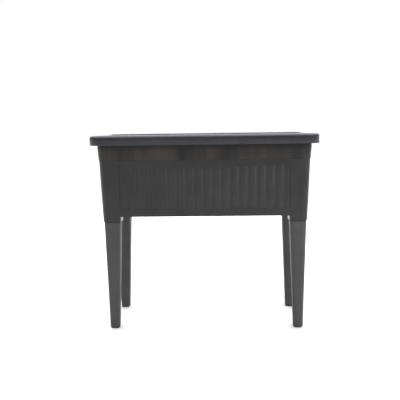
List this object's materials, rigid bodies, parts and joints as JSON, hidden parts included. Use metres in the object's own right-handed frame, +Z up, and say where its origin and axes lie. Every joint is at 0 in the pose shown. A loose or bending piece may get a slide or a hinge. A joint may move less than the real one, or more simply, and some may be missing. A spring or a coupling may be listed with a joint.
{
  "type": "raised planter",
  "caption": "Raised rectangular garden planter: a reeded plastic tub with a downturned rim on tapered plug-in legs, with a drainage grid and a drain plug.",
  "frame": {"origin": "on the ground, below the middle of the tub", "axes": "+X along the length to the right, -Y towards the front, +Z up"},
  "size_m": [0.75, 0.365, 0.655],
  "materials": {
    "tub_plastic": "satin",
    "leg_plastic": "matte",
    "foot_plastic": "matte",
    "grid_plastic": "matte",
    "plug_plastic": "matte",
    "seal_rubber": "matte"
  },
  "bodies": {
    "planter": {"tub": "tub_plastic", "leg_front_left": "leg_plastic", "leg_front_right": "leg_plastic", "leg_rear_left": "leg_plastic", "leg_rear_right": "leg_plastic", "foot_cap_front_left": "foot_plastic", "foot_cap_front_right": "foot_plastic", "foot_cap_rear_left": "foot_plastic", "foot_cap_rear_right": "foot_plastic"},
    "grid": {"drainage_grid": "grid_plastic"},
    "plug": {"drain_plug": "plug_plastic", "plug_seal": "seal_rubber"}
  },
  "joints": [
    {"name": "grid_lift", "type": "slide", "parent": "planter", "child": "grid", "axis": [0, 0, 1], "range_m": [0, 0.25]},
    {"name": "plug_pull", "type": "slide", "parent": "planter", "child": "plug", "axis": [0, 0, -1], "range_m": [0, 0.03]}
  ]
}
